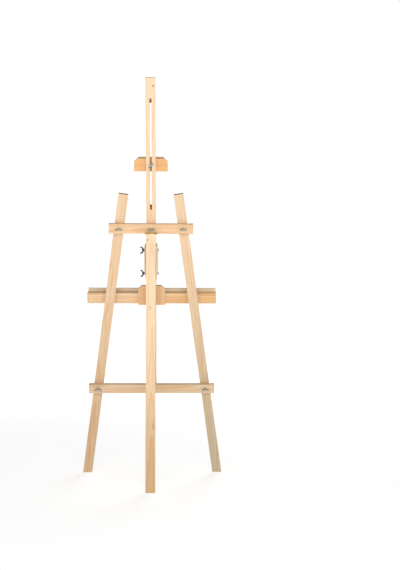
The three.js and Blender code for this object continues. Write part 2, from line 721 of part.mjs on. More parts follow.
// Tray: a bracket and a rail across it, a grooved floor, and a lip in front.
function addTray() {
  const outline = shoulderedOutline(BRACKET.width, bracketFoot, bracketTop, BRACKET_CHAMFER);
  const bracket = board(outline, carrierFront - GAP, bracketFront);
  addPiece(frame, "bracket_plate", cut(bracket, railScrewHoles()), warmPine);
  const side = half(TRAY_LENGTH);
  const rail = box([-side, railFront, railFoot], [side, bracketFront - GAP, railTop]);
  addPiece(frame, "shelf_rail", cut(rail, railScrewHoles()), pine);
  const grooveFront = trayFloorFront + TRAY_GROOVE.behindLip;
  const grooveBack = grooveFront + TRAY_GROOVE.width;
  const grooveFloor = trayFloorTop - TRAY_GROOVE.depth;
  const floorProfile = [
    [trayFloorFront, trayFloorFoot],
    [railFront - GAP, trayFloorFoot],
    [railFront - GAP, trayFloorTop],
    [grooveBack, trayFloorTop],
    [grooveBack, grooveFloor],
    [grooveFront, grooveFloor],
    [grooveFront, trayFloorTop],
    [trayFloorFront, trayFloorTop],
  ];
  const trayHoles = () => trayScrews().map((place) => {
    return screwHole(WOOD_SCREW, TRAY_SCREW_LENGTH, "back", place);
  });
  addPiece(frame, "tray_floor", cut(moulding(floorProfile, TRAY_LENGTH), trayHoles()), pine);
  const lip = box(
    [-side, trayLipFront, trayFloorFoot],
    [side, trayFloorFront - GAP, trayFloorTop + TRAY_LIP.aboveFloor],
  );
  addPiece(frame, "tray_lip", cut(lip, trayHoles()), pine);
  railScrews().forEach((place, index) => {
    addScrew(frame, `rail_screw_${index + 1}`, WOOD_SCREW, RAIL_SCREW_LENGTH, "back", place);
  });
  trayScrews().forEach((place, index) => {
    addScrew(frame, `tray_screw_${index + 1}`, WOOD_SCREW, TRAY_SCREW_LENGTH, "back", place);
  });
}

addFrame();
addRearLeg();
addClamp();
addCarriageSlide();
addTray();

export default easel;
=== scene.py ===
"""Wooden studio easel: planed pine boards, zinc hardware and a brass hinge around a fixed frame."""

import json
import math
from collections import namedtuple
from dataclasses import dataclass

import bmesh
import bpy
from bpy.props import FloatProperty, FloatVectorProperty, IntProperty, PointerProperty
from mathutils import Matrix, Vector

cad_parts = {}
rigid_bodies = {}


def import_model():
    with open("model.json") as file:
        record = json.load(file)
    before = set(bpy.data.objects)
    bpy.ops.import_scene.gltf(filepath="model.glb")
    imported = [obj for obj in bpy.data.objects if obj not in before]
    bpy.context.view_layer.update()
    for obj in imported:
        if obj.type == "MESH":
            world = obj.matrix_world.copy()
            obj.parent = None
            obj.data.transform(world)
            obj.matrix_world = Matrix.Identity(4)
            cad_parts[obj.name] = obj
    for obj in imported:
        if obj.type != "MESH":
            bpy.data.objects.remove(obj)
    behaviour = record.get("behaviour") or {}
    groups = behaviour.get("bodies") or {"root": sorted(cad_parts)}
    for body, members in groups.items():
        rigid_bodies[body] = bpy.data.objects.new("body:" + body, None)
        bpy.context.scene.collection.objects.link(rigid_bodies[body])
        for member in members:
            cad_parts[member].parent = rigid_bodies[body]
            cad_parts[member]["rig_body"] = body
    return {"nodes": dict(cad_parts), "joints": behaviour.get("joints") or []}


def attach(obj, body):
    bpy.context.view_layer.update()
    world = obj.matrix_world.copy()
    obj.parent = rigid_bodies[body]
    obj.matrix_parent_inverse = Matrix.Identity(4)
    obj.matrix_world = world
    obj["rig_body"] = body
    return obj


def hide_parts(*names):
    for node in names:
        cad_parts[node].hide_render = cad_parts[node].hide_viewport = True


bl_info = {
    "name": "Wooden Easel",
    "version": (1, 0, 0),
    "blender": (4, 5, 0),
    "location": "3D View > Sidebar > Easel",
    "description": "Finishes a studio easel's boards, hardware and stage around its fixed frame",
    "category": "Object",
}

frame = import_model()

MM = 0.001
TURN = 2 * math.pi
WELD = 0.01 * MM
FLAT_ANGLE = math.radians(0.5)
SHARP_ANGLE = math.radians(40)
CREASE_ANGLE = math.radians(35)
GRAIN = "grain"
JOINTS = {joint["name"]: joint for joint in frame["joints"]}
LEAN_AXIS = Vector(JOINTS["shelf_height"]["axis"])


# Settings


def colour_setting(name, description, default):
    return FloatVectorProperty(
        name=name, description=description, subtype="COLOR", size=3, min=0, max=1, default=default,
    )


def length_setting(name, description, low, high, default):
    return FloatProperty(
        name=name, description=description, subtype="DISTANCE", unit="LENGTH",
        min=low, max=high, default=default,
    )


class EASEL_PG_wood(bpy.types.PropertyGroup):
    """Colours and texture of the planed boards."""

    pale: colour_setting(
        "Early wood", "Colour of the pale wood between the growth lines", (0.86, 0.66, 0.43),
    )
    warm: colour_setting(
        "Warm wood", "Colour of the warmer patches along a board", (0.80, 0.54, 0.30),
    )
    # The clamp plate's orange is its own warm tone deepened by painted shade.
    shaded_orange: colour_setting(
        "Orange wood", "Colour of the clamp plate and the bracket", (0.84, 0.47, 0.20),
    )
    line: colour_setting("Late wood", "Colour of the growth lines", (0.62, 0.33, 0.13))
    heart: colour_setting("Heart streak", "Colour of the reddish streaks", (0.56, 0.24, 0.09))
    knot: colour_setting("Knot", "Colour of the knots", (0.24, 0.09, 0.03))
    end_grain: colour_setting("End grain", "Tint of the sawn ends", (0.27, 0.20, 0.14))
    # Dirt and painted shade in the brush groove share this colour.
    groove_dirt_and_shade: colour_setting("Grime", "Colour of the dirt in the brush groove", (0.20, 0.13, 0.08))
    ring_width: length_setting(
        "Ring width", "Distance between two growth lines", 0.0005, 0.02, 0.0036,
    )
    ease: length_setting(
        "Eased edge", "Width of the rounding on every sharp board edge", 0, 0.003, 0.0009,
    )
    roughness: FloatProperty(
        name="Roughness", description="Roughness of the planed faces",
        subtype="FACTOR", min=0, max=1, default=0.52,
    )


class EASEL_PG_metal(bpy.types.PropertyGroup):
    """Colours of the metal parts and sizes of their small details."""

    zinc: colour_setting("Zinc", "Colour of the zinc-plated steel", (0.52, 0.53, 0.55))
    zinc_dull: colour_setting(
        "Dull zinc", "Colour of the darker patches of the zinc", (0.30, 0.31, 0.33),
    )
    # A darker zinc for the carriage's wing nuts.
    zinc_dark: colour_setting(
        "Aged zinc", "Colour of the carriage's darkened wing nuts", (0.17, 0.18, 0.20),
    )
    brass: colour_setting("Brass", "Colour of the hinge", (0.46, 0.33, 0.11))
    brass_dull: colour_setting(
        "Dull brass", "Colour of the tarnished patches of the hinge", (0.27, 0.19, 0.07),
    )
    pitch: length_setting(
        "Thread pitch", "Distance between two turns of a bolt's thread", 0.0004, 0.002, 0.001,
    )
    voxel: length_setting(
        "Casting detail", "Grid size of the wing nut's cast surface", 0.0002, 0.001, 0.00036,
    )
    sides: IntProperty(
        name="Sides", description="Number of sides of a turned part",
        min=12, max=96, default=32,
    )


class EASEL_PG_stage(bpy.types.PropertyGroup):
    """Camera, floor and lights."""

    camera_place: FloatVectorProperty(
        name="Camera place", description="Where the camera stands",
        subtype="TRANSLATION", unit="LENGTH", size=3, default=(-0.099, 3.863, 1.023),
    )
    camera_yaw: FloatProperty(
        name="Yaw", description="Turn of the camera from straight along -Y",
        subtype="ANGLE", unit="ROTATION", default=math.radians(-1.59),
    )
    camera_pitch: FloatProperty(
        name="Pitch", description="How far the camera looks down",
        subtype="ANGLE", unit="ROTATION", default=math.radians(2.51),
    )
    camera_roll: FloatProperty(
        name="Roll", description="Turn of the camera about its own axis",
        subtype="ANGLE", unit="ROTATION", default=math.radians(0.22),
    )
    lens: FloatProperty(
        name="Lens", description="Focal length on a 36 mm sensor",
        unit="CAMERA", min=10, max=300, default=57.43,
    )
    floor_size: length_setting(
        "Floor radius", "Radius of the round floor", 2, 100, 40,
    )
    floor_colour: colour_setting("Floor", "Colour of the floor", (0.60, 0.60, 0.60))
    floor_glow: FloatProperty(
        name="Floor glow", description="Light that the white floor gives off by itself",
        min=0, max=2, default=0.64,
    )
    floor_glow_far: FloatProperty(
        name="Far floor glow", description="The same, where the lamps no longer reach",
        min=0, max=2, default=0.93,
    )
    backdrop: FloatProperty(
        name="Backdrop", description="Brightness of the white walls as the camera sees them",
        min=0, max=10, default=1.02,
    )
    walls: FloatProperty(
        name="Studio walls", description="Light that the white walls throw on the easel",
        min=0, max=10, default=0.55,
    )
    ceiling: FloatProperty(
        name="Studio ceiling", description="Brightness straight above the easel",
        min=0, max=10, default=0.16,
    )
    key: FloatProperty(
        name="Key light", description="Power of the large lamp behind the camera",
        unit="POWER", min=0, max=5000, default=56,
    )
    fill: FloatProperty(
        name="Fill light", description="Power of the lamp on the painter's side",
        unit="POWER", min=0, max=5000, default=48,
    )


# Shader nodes


class Recipe:
    """One material, with short words for adding shader nodes and joining them up."""

    def __init__(self, name):
        self.material = bpy.data.materials.new(name)
        self.material.use_nodes = True
        self.tree = self.material.node_tree
        self.tree.nodes.clear()
        self.output = self.tree.nodes.new("ShaderNodeOutputMaterial")

    def node(self, kind, inputs, **options):
        made = self.tree.nodes.new(kind)
        for option, value in options.items():
            setattr(made, option, value)
        for socket, value in inputs.items():
            if isinstance(value, bpy.types.NodeSocket):
                self.tree.links.new(value, made.inputs[socket])
            else:
                made.inputs[socket].default_value = value
        return made

    def maths(self, operation, first, second=0.0, third=0.0):
        inputs = {0: first, 1: second, 2: third}
        return self.node("ShaderNodeMath", inputs, operation=operation).outputs[0]

    def times(self, first, second):
        return self.maths("MULTIPLY", first, second)

    def vector(self, operation, first, second=(0.0, 0.0, 0.0)):
        made = self.node("ShaderNodeVectorMath", {0: first, 1: second}, operation=operation)
        return made.outputs[1 if operation == "LENGTH" else 0]

    def parts(self, place):
        return self.node("ShaderNodeSeparateXYZ", {0: place}).outputs

    def ease(self, value, low, high, start=0.0, end=1.0):
        inputs = {0: value, 1: low, 2: high, 3: start, 4: end}
        kind = "ShaderNodeMapRange"
        return self.node(kind, inputs, interpolation_type="SMOOTHSTEP").outputs[0]

    def mix(self, share, first, second, blend="MIX"):
        inputs = {0: share, 6: first, 7: second}
        options = {"data_type": "RGBA", "blend_type": blend}
        return self.node("ShaderNodeMix", inputs, **options).outputs[2]

    def noise(self, place, stretch, detail=2.0, roughness=0.5, output="Fac"):
        inputs = {"Vector": self.vector("MULTIPLY", place, stretch), "Scale": 1.0}
        inputs.update({"Detail": detail, "Roughness": roughness})
        return self.node("ShaderNodeTexNoise", inputs).outputs[output]

    def bump(self, height, strength, distance):
        inputs = {"Strength": strength, "Distance": distance, "Height": height}
        return self.node("ShaderNodeBump", inputs).outputs[0]

    def finish(self, **inputs):
        named = {name.replace("_", " "): value for name, value in inputs.items()}
        shader = self.node("ShaderNodeBsdfPrincipled", named)
        self.tree.links.new(shader.outputs[0], self.output.inputs[0])
        return self.material


def rgba(colour, strength=1.0):
    return (colour[0] * strength, colour[1] * strength, colour[2] * strength, 1.0)


# Meshes and pieces


def added(name, data):
    """A new object in the scene."""
    made = bpy.data.objects.new(name, data)
    bpy.context.scene.collection.objects.link(made)
    return made


def mesh_from(name, bm):
    """A mesh that takes over what bm holds."""
    mesh = bpy.data.meshes.new(name)
    bm.to_mesh(mesh)
    bm.free()
    return mesh


def unit_along(direction):
    """The same line, pointing up, or to the right if it lies level."""
    flat = direction.normalized()
    turn = flat.z if abs(flat.z) > 0.5 else flat.x if abs(flat.x) > 0.5 else flat.y
    return flat if turn > 0 else -flat


def welded(node):
    """The node's mesh with its doubled corners joined and its flat faces made whole."""
    bm = bmesh.new()
    bm.from_mesh(frame["nodes"][node].data)
    bmesh.ops.remove_doubles(bm, verts=bm.verts, dist=WELD)
    bmesh.ops.dissolve_limit(bm, angle_limit=FLAT_ANGLE, verts=bm.verts, edges=bm.edges)
    bm.normal_update()
    return bm


def ease_edges(bm, width, segments=2):
    sharp = [edge for edge in bm.edges if edge.calc_face_angle(0) > SHARP_ANGLE]
    bmesh.ops.bevel(
        bm, geom=sharp, offset=width, segments=segments, profile=0.5,
        affect="EDGES", clamp_overlap=True, offset_type="OFFSET",
    )


def new_piece(name, bm, node, material, place=None):
    """An object made of bm that stands for a frame node and rides on its body."""
    mesh = bm
    if isinstance(bm, bmesh.types.BMesh):
        mesh = mesh_from(name, bm)
        mesh.shade_smooth()
    if not mesh.polygons:
        raise RuntimeError(f"{name} has no faces")
    piece = added(name, mesh)
    if place is not None:
        piece.matrix_world = place
    if not mesh.materials:
        mesh.materials.append(material)
    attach(piece, frame["nodes"][node]["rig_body"])
    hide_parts(node)
    return piece


# Wood


# A mark's place across the board and up from its foot, and its half sizes, in millimetres.
Mark = namedtuple("Mark", "across up half_width half_height darkness kind")


@dataclass
class Board:
    """How one board was cut, the marks on its face and its tint.

    Pith is where the log's centre lies from the board's, across and through, in millimetres,
    and lean is how far it drifts per metre. Warmth is how warm the wood is, depth how dark its
    growth lines are, heart how much reddish wood it has, and ends how dark its sawn ends are.
    Along is the grain's direction where it isn't that of the longest edge. The tint changes from
    the foot's to the top's, and is the top's from reach on, a share of the half length above the
    middle; it carries the board's own tone and painted shade, darker towards the foot where less
    lamp light falls, with painted light on the rear leg's top.
    """

    pith: tuple
    lean: tuple
    warmth: float
    depth: float
    heart: float
    marks: tuple = ()
    along: Vector = None
    foot: tuple = None
    top: tuple = None
    reach: float = 0.7
    ends: float = 1.0
    seed: int = 0


KNOT = "knot"
STREAK = "streak"

# The foot and top tints carry each board's own tone and painted shade: the legs, the mast and the
# rear leg darken towards their feet, away from the lamp.
BOARDS = {
    "mast": Board(
        (5, -34), (3, -12), 0.18, 0.30, 0.12,
        [(-10.5, 1307, 3.6, 4.6, 0.95, KNOT), (1, 800, 9, 60, 0.25, STREAK)],
        foot=(0.88, 0.80, 0.72), top=(0.97, 0.93, 0.94), reach=0.4, seed=1,
    ),
    "right_leg": Board(
        (16, -30), (-8, 14), 0.42, 0.34, 0.45,
        [(15, 982, 3.5, 26, 0.85, STREAK), (0, 920, 3.5, 48, 0.55, STREAK),
         (6, 790, 5, 42, 0.6, STREAK), (13, 200, 4, 120, 0.55, STREAK)],
        foot=(0.76, 0.70, 0.65), top=(0.92, 0.87, 0.85), seed=2,
    ),
    "left_leg": Board(
        (-14, -36), (8, 10), 0.38, 0.34, 0.30,
        [(-4, 560, 3, 40, 0.4, STREAK), (9, 380, 4, 60, 0.4, STREAK),
         (3, 1110, 2.5, 30, 0.4, STREAK)],
        foot=(0.66, 0.69, 0.73), top=(0.92, 0.90, 0.90), seed=3,
    ),
    "upper_crossbar": Board(
        (12, -28), (3, 5), 0.40, 0.50, 0.25,
        foot=(0.93, 0.81, 0.72), top=(0.95, 0.85, 0.78), seed=4,
    ),
    # Painted shade: the lower crossbar is tinted darker all over, low down away from the lamp.
    "lower_crossbar": Board(
        (-6, -30), (4, -6), 0.45, 0.50, 0.20,
        foot=(0.86, 0.86, 0.85), top=(0.89, 0.88, 0.90), seed=5,
    ),
    # Painted light lifts the rear leg's top; painted shade darkens its foot.
    "rear_leg": Board(
        (4, -46), (6, 12), 0.20, 0.32, 0.18,
        [(13.5, 1044, 4.6, 4.0, 0.75, KNOT), (1, 764, 4.5, 5.0, 0.28, KNOT),
         (-9.5, 630, 2.2, 2.6, 0.6, KNOT), (-11, 276, 5, 16, 0.3, KNOT),
         (-8, 480, 3, 60, 0.3, STREAK)],
        foot=(0.78, 0.67, 0.53), top=(1.05, 1.03, 1.04), reach=0.25, seed=6,
    ),
    # Painted shade deepens the clamp plate's own warm tone to orange.
    "clamp_plate": Board((10, -20), (0, 2), 0.95, 0.45, 0.25, seed=7),
    "clamp_ledge": Board((10, -24), (0, 2), 0.55, 0.50, 0.15, seed=8),
    "clamp_lip": Board((6, -22), (0, 2), 0.60, 0.50, 0.15, seed=9),
    "shelf_carrier": Board((6, -26), (2, 3), 0.40, 0.50, 0.15, ends=0.3, seed=10),
    # Painted light: the left cheek is tinted paler and cooler, as if lit.
    "left_cheek": Board(
        (4, -26), (2, 3), 0.25, 0.30, 0.10,
        foot=(0.95, 1.06, 1.2), top=(0.95, 1.06, 1.2), ends=0.3, seed=11,
    ),
    # Painted shade: the right cheek is tinted darker, as if in the rear leg's shadow.
    "right_cheek": Board(
        (4, -26), (2, 3), 0.45, 0.50, 0.20,
        foot=(0.80, 0.78, 0.76), top=(0.80, 0.78, 0.76), ends=0.3, seed=12,
    ),
    "bracket_plate": Board(
        (-52, -18), (4, 0), 0.74, 0.40, 0.25, along=LEAN_AXIS,
        foot=(1.0, 0.95, 0.90), top=(1.0, 0.97, 0.94), seed=13,
    ),
    "shelf_rail": Board(
        (-16, -26), (3, 2), 0.50, 0.70, 0.35,
        [(2, 551, 2.0, 2.0, 0.8, KNOT), (10, 170, 10, 80, 0.3, STREAK)],
        foot=(0.93, 0.80, 0.60), top=(0.98, 0.95, 0.92), seed=14,
    ),
    "tray_floor": Board((10, -24), (2, 3), 0.40, 0.55, 0.20, seed=15),
    # Painted light: the lip is tinted paler than its own tone, so its shaded back face reads light.
    "tray_lip": Board(
        (8, -22), (2, 3), 0.0, 0.25, 0.0, foot=(1.06, 1.18, 1.34), top=(1.06, 1.18, 1.34), seed=16,
    ),
}

# From this warmth on, a board is orange all over; on the clamp plate this orange is deepened by
# painted shade.
ALL_ORANGE = 0.8
# How many growth rings a knot pushes aside.
KNOT_PUSH = 1.6

# How fine each pattern is across, through and along a board, per metre.
PATCHES = (22, 22, 1.1)
RIBBONS = (70, 70, 0.9)
FIBRES = (900, 900, 18)
PORES = (1500, 1500, 120)
SAW_MARKS = (700, 90, 500)
EDGE_HIGHLIGHT_PATCHES = (30, 30, 9)
RING_DRIFT = (5, 5, 1.6)
RING_UNEVENNESS = (60, 60, 3)
KNOT_RAGGEDNESS = (260, 260, 260)
STREAK_RAGGEDNESS = (300, 300, 12)
GROOVE_SMEARS = (40, 40, 4.5)
SLOT_DARK_RAGGEDNESS = (300, 160, 40)

# How far the rings wander from true circles, how deep the grain's bump is, how far in from a
# board's edge its edge line begins, and how wide the rim is where the line is full.
RING_WANDER = 14 * MM
GRAIN_RELIEF = 0.25 * MM
EDGE_LINE_WIDTH = 1.6 * MM
EDGE_LINE_RIM = 0.2 * MM

# The mast's slot: its middle, counted along the mast from the mast's own, its half length, and
# a half width that takes in its walls. The scorch and painted shade on the walls fade out beyond
# them, and the painted shade deepens over the slot's last stretch at each end.
SLOT_MIDDLE = 362 * MM
SLOT_HALF_LENGTH = 208 * MM
SLOT_HALF_WIDTH = 4.2 * MM
SIDE_FADE = 0.7 * MM
END_FADE = 26 * MM
END_DARKENING = 60 * MM


def board_axes(bm, along):
    """Across, through and along a board, as the columns of a rotation."""
    if along is None:
        longest = max(bm.edges, key=lambda edge: edge.calc_length())
        along = longest.verts[1].co - longest.verts[0].co
    along = unit_along(along)
    areas = {}
    for face in bm.faces:
        if abs(face.normal.dot(along)) < 0.3:
            key = tuple(round(part, 1) for part in unit_along(face.normal))
            areas[key] = areas.get(key, 0) + face.calc_area()
    through = Vector(max(areas, key=areas.get))
    through = unit_along(through - along * through.dot(along))
    across = through.cross(along)
    return Matrix((across, through, along)).transposed()


def keep_flats(piece):
    """Shades the wide faces flat and only the eased edges round."""
    weighted = piece.modifiers.new("flat_faces", "WEIGHTED_NORMAL")
    weighted.keep_sharp = True
    weighted.weight = 100


def box_of(bm, turn):
    """The lowest and highest corner of the mesh's box along the columns of a rotation."""
    spans = [[vert.co.dot(axis) for vert in bm.verts] for axis in turn.col]
    return Vector([min(span) for span in spans]), Vector([max(span) for span in spans])


def growth_lines(recipe, place, board, wood, swell):
    """A saw-shaped wave that rises slowly through each growth ring and ends at its dark line."""
    shift = [value * MM for value in board.pith] + [board.seed * 1.7]
    drift = recipe.noise(recipe.vector("ADD", place, shift), RING_DRIFT, output="Color")
    wander = recipe.vector("MULTIPLY", drift, (RING_WANDER, RING_WANDER, 0.0))
    slope = [value * MM for value in board.lean]
    rise = recipe.parts(place)[2]
    tilt = recipe.node("ShaderNodeCombineXYZ", {
        0: recipe.times(rise, slope[0]),
        1: recipe.times(rise, slope[1]),
    }).outputs[0]
    pith = (board.pith[0] * MM, board.pith[1] * MM, 0.0)
    flat = recipe.vector("MULTIPLY", recipe.vector("SUBTRACT", place, pith), (1.0, 1.0, 0.0))
    inside = recipe.vector("ADD", recipe.vector("ADD", flat, wander), tilt)
    radius = recipe.vector("LENGTH", inside)
    waves = recipe.maths("MULTIPLY_ADD", radius, 1 / wood.ring_width, swell)
    uneven = recipe.noise(place, RING_UNEVENNESS, 1.0)
    phase = recipe.maths("FRACT", recipe.maths("MULTIPLY_ADD", uneven, 0.5, waves))
    climb = recipe.ease(phase, 0.35, 0.92)
    fall = recipe.ease(phase, 0.93, 1.0, 1.0, 0.0)
    return recipe.times(climb, fall)


def mark_shape(recipe, place, mark, foot):
    """How near a point of the board lies to the middle of a knot or streak, in its own radii."""
    middle = (mark.across * MM, 0.0, foot + mark.up * MM)
    scale = (1 / (mark.half_width * MM), 0.0, 1 / (mark.half_height * MM))
    away = recipe.vector("MULTIPLY", recipe.vector("SUBTRACT", place, middle), scale)
    return recipe.vector("LENGTH", away)


def knot_colour(recipe, colour, reach, mark, wood, place):
    """Adds a knot with its own fine rings and a resin-dark rim."""
    ragged = recipe.noise(place, KNOT_RAGGEDNESS)
    edge = recipe.maths("MULTIPLY_ADD", ragged, 0.5, reach)
    rings = recipe.maths("SINE", recipe.times(reach, 9.0))
    body = recipe.mix(recipe.ease(rings, -1.0, 1.0), rgba(wood.knot, 1.9), rgba(wood.knot, 1.2))
    share = recipe.ease(edge, 0.9, 1.35, mark.darkness, 0.0)
    return recipe.mix(share, colour, body)


def streak_colour(recipe, colour, reach, mark, wood, place):
    """Adds a reddish streak that fades out along the grain."""
    ragged = recipe.noise(place, STREAK_RAGGEDNESS, 3.0)
    edge = recipe.maths("MULTIPLY_ADD", ragged, 0.9, reach)
    share = recipe.ease(edge, 0.5, 1.6, mark.darkness, 0.0)
    return recipe.mix(share, colour, rgba(wood.heart, 1.25))


def edge_line_mask(recipe, place, half_size):
    """1 on the board's long edges and corners, 0 on its faces."""
    parts = recipe.parts(recipe.vector("ABSOLUTE", place))
    near = [
        recipe.ease(parts[k], half_size[k] - EDGE_LINE_WIDTH, half_size[k] - EDGE_LINE_RIM) for k in range(3)
    ]
    pairs = [recipe.times(near[a], near[b]) for a, b in ((0, 1), (0, 2), (1, 2))]
    return recipe.maths("MAXIMUM", recipe.maths("MAXIMUM", pairs[0], pairs[1]), pairs[2])


def end_grain_share(recipe, along):
    """1 where the board is sawn across its grain, 0 on its faces and edges."""
    normal = recipe.node("ShaderNodeNewGeometry", {}).outputs["Normal"]
    own_normal = recipe.node(
        "ShaderNodeVectorTransform", {0: normal},
        vector_type="NORMAL", convert_from="WORLD", convert_to="OBJECT",
    ).outputs[0]
    facing = recipe.node(
        "ShaderNodeVectorMath", {0: own_normal, 1: tuple(along)}, operation="DOT_PRODUCT",
    ).outputs["Value"]
    return recipe.ease(recipe.maths("ABSOLUTE", facing), 0.55, 0.85)


def groove_dirt_and_painted_shade(recipe, place, seeded):
    """Dirt and painted shade: most in the brush groove, in long smears, and a painted shadow that
    fades towards one end.
    """
    parts = recipe.parts(place)
    depth = recipe.ease(parts[1], 1.0 * MM, 6.4 * MM, 1.0, 0.0)
    smears = recipe.noise(seeded, GROOVE_SMEARS)
    darkening = recipe.times(depth, recipe.ease(smears, 0.25, 0.6, 0.35, 0.8))
    # Painted shadow: the darkening fades out towards one end of the tray.
    return recipe.times(darkening, recipe.ease(parts[2], -0.19, -0.10, 0.12, 1.0))


def slot_scorch_and_shade(recipe, place):
    """1 on the mast's slot walls, where the cutter scorched them and shade is painted, and most at
    the two ends.
    """
    parts = recipe.parts(place)
    inside = recipe.ease(
        recipe.maths("ABSOLUTE", parts[0]), SLOT_HALF_WIDTH, SLOT_HALF_WIDTH + SIDE_FADE, 1.0, 0.0,
    )
    ragged = recipe.noise(place, SLOT_DARK_RAGGEDNESS)
    above = recipe.maths("ABSOLUTE", recipe.maths("SUBTRACT", parts[2], SLOT_MIDDLE))
    reach = recipe.ease(above, SLOT_HALF_LENGTH, SLOT_HALF_LENGTH + END_FADE, 1.0, 0.0)
    near_end = recipe.ease(above, SLOT_HALF_LENGTH - END_DARKENING, SLOT_HALF_LENGTH, 0.3, 1.0)
    share = recipe.times(recipe.times(inside, reach), near_end)
    return recipe.times(share, recipe.ease(ragged, 0.3, 0.7, 0.45, 0.95))


def wood_colour(recipe, seeded, lines, board, wood):
    """The planed face before its marks: warm patches, heart ribbons and growth lines."""
    patches = recipe.noise(seeded, PATCHES)
    warmth = recipe.ease(patches, 0.75 - board.warmth * 0.5, 1.05 - board.warmth * 0.5)
    base = recipe.mix(warmth, rgba(wood.pale), rgba(wood.warm))
    if board.warmth > ALL_ORANGE:
        base = recipe.mix(patches, rgba(wood.shaded_orange), rgba(wood.shaded_orange, 0.88))
    ribbons = recipe.noise(seeded, RIBBONS)
    band = recipe.ease(ribbons, 0.70 - board.heart * 0.3, 0.92 - board.heart * 0.3, 0.0, 0.55)
    base = recipe.mix(band, base, rgba(wood.heart, 1.3))
    share = recipe.times(lines, board.depth)
    return recipe.mix(share, base, rgba(wood.line, 1.15))


def add_fibres(recipe, base, seeded, fibre, wood):
    """Darkens and lightens the face along its fibres and speckles it with pores."""
    shade = recipe.ease(fibre, 0.25, 0.75, 0.86, 1.06)
    shade = recipe.node("ShaderNodeCombineColor", {0: shade, 1: shade, 2: shade}).outputs[0]
    base = recipe.mix(1.0, base, shade, "MULTIPLY")
    pores = recipe.noise(seeded, PORES, 1.0)
    return recipe.mix(recipe.ease(pores, 0.68, 0.78, 0.0, 0.25), base, rgba(wood.line, 0.7))


def add_ends(recipe, base, seeded, ends, wood):
    """Darkens the sawn ends and draws the saw's marks across them."""
    sawn = recipe.mix(1.0, base, rgba(wood.end_grain), "MULTIPLY")
    saw_marks = recipe.noise(seeded, SAW_MARKS)
    sawn = recipe.mix(recipe.ease(saw_marks, 0.4, 0.7, 0.0, 0.4), sawn, rgba(wood.line, 0.35))
    return recipe.mix(ends, base, sawn)


def add_edge_line_and_highlight(recipe, base, place, seeded, half_size, wood):
    """Edges: a thin brown line, turned into a pale painted highlight here and there."""
    edge_line = edge_line_mask(recipe, place, half_size)
    highlight_patches = recipe.noise(seeded, EDGE_HIGHLIGHT_PATCHES)
    tone = recipe.mix(recipe.ease(highlight_patches, 0.5, 0.62), rgba(wood.line, 0.9), rgba(wood.pale, 0.95))
    return recipe.mix(recipe.times(edge_line, 0.38), base, tone)


def add_tint_and_painted_shade(recipe, base, place, half_size, board):
    """Tints the board from its foot's tint to its top's: its own tone, and painted shade darker
    towards the foot where less lamp light falls.
    """
    rise = recipe.parts(place)[2]
    share = recipe.ease(rise, -half_size.z, half_size.z * board.reach)
    tint = recipe.mix(share, rgba(board.foot), rgba(board.top))
    return recipe.mix(1.0, base, tint, "MULTIPLY")


def pine(node, board, along, half_size, wood):
    """Planed pine for one board: growth lines, warm patches, fibres, marks, ends, edge lines with
    painted highlights, and painted shade.
    """
    recipe = Recipe(f"{node}_pine")
    place = recipe.node("ShaderNodeAttribute", {}, attribute_name=GRAIN).outputs["Vector"]
    seeded = recipe.vector("ADD", place, (board.seed * 0.73, board.seed * 0.41, board.seed * 1.9))
    marks = [Mark(*mark) for mark in board.marks]
    reaches = [mark_shape(recipe, place, mark, -half_size.z) for mark in marks]
    swell = 0.0
    for mark, reach in zip(marks, reaches):
        if mark.kind == KNOT:
            push = recipe.ease(reach, 0.4, 3.2, KNOT_PUSH * mark.darkness, 0.0)
            swell = recipe.maths("ADD", push, swell)
    lines = growth_lines(recipe, place, board, wood, swell)
    fibre = recipe.noise(seeded, FIBRES, 3.0, 0.65)
    base = wood_colour(recipe, seeded, lines, board, wood)
    base = add_fibres(recipe, base, seeded, fibre, wood)
    for mark, reach in zip(marks, reaches):
        colour = knot_colour if mark.kind == KNOT else streak_colour
        base = colour(recipe, base, reach, mark, wood, place)
    ends = end_grain_share(recipe, along)
    base = add_ends(recipe, base, seeded, recipe.times(ends, board.ends), wood)
    # Edge lines, pale in places as a painted highlight.
    base = add_edge_line_and_highlight(recipe, base, place, seeded, half_size, wood)
    # Tint: the board's own tone and painted shade towards its foot.
    if board.foot:
        base = add_tint_and_painted_shade(recipe, base, place, half_size, board)
    # Dirt and painted shade in the tray's brush groove.
    if node == "tray_floor":
        base = recipe.mix(groove_dirt_and_painted_shade(recipe, place, seeded), base, rgba(wood.groove_dirt_and_shade))
    # Scorch and painted shade on the slot walls, darkest at the slot's ends.
    if node == "mast":
        base = recipe.mix(slot_scorch_and_shade(recipe, place), base, rgba(wood.heart, 0.45))
    height = recipe.maths("MULTIPLY_ADD", lines, 0.7, recipe.times(fibre, 0.6))
    rough = recipe.ease(fibre, 0.2, 0.8, wood.roughness - 0.08, wood.roughness + 0.12)
    rough = recipe.maths("MULTIPLY_ADD", ends, 0.25, rough)
    return recipe.finish(
        Base_Color=base, Roughness=rough, Specular_IOR_Level=0.35,
        Normal=recipe.bump(height, 0.35, GRAIN_RELIEF),
    )


def mark_grain(mesh, inward):
    """Gives every corner its place in the board's own axes, for the grain to follow."""
    places = mesh.attributes.new(GRAIN, "FLOAT_VECTOR", "POINT")
    for vertex in mesh.vertices:
        places.data[vertex.index].vector = inward @ vertex.co


def make_board(node):
    """Copies a wooden node, eases its edges and gives it its own grain."""
    wood = bpy.context.scene.easel_wood
    bm = welded(node)
    turn = board_axes(bm, BOARDS[node].along)
    low, high = box_of(bm, turn)
    ease_edges(bm, wood.ease)
    inward = Matrix.Translation(-(low + high) / 2) @ turn.transposed().to_4x4()
    material = pine(node, BOARDS[node], turn.col[2], (high - low) / 2, wood)
    piece = new_piece(f"{node}_board", bm, node, material)
    mark_grain(piece.data, inward)
    keep_flats(piece)


# Metal


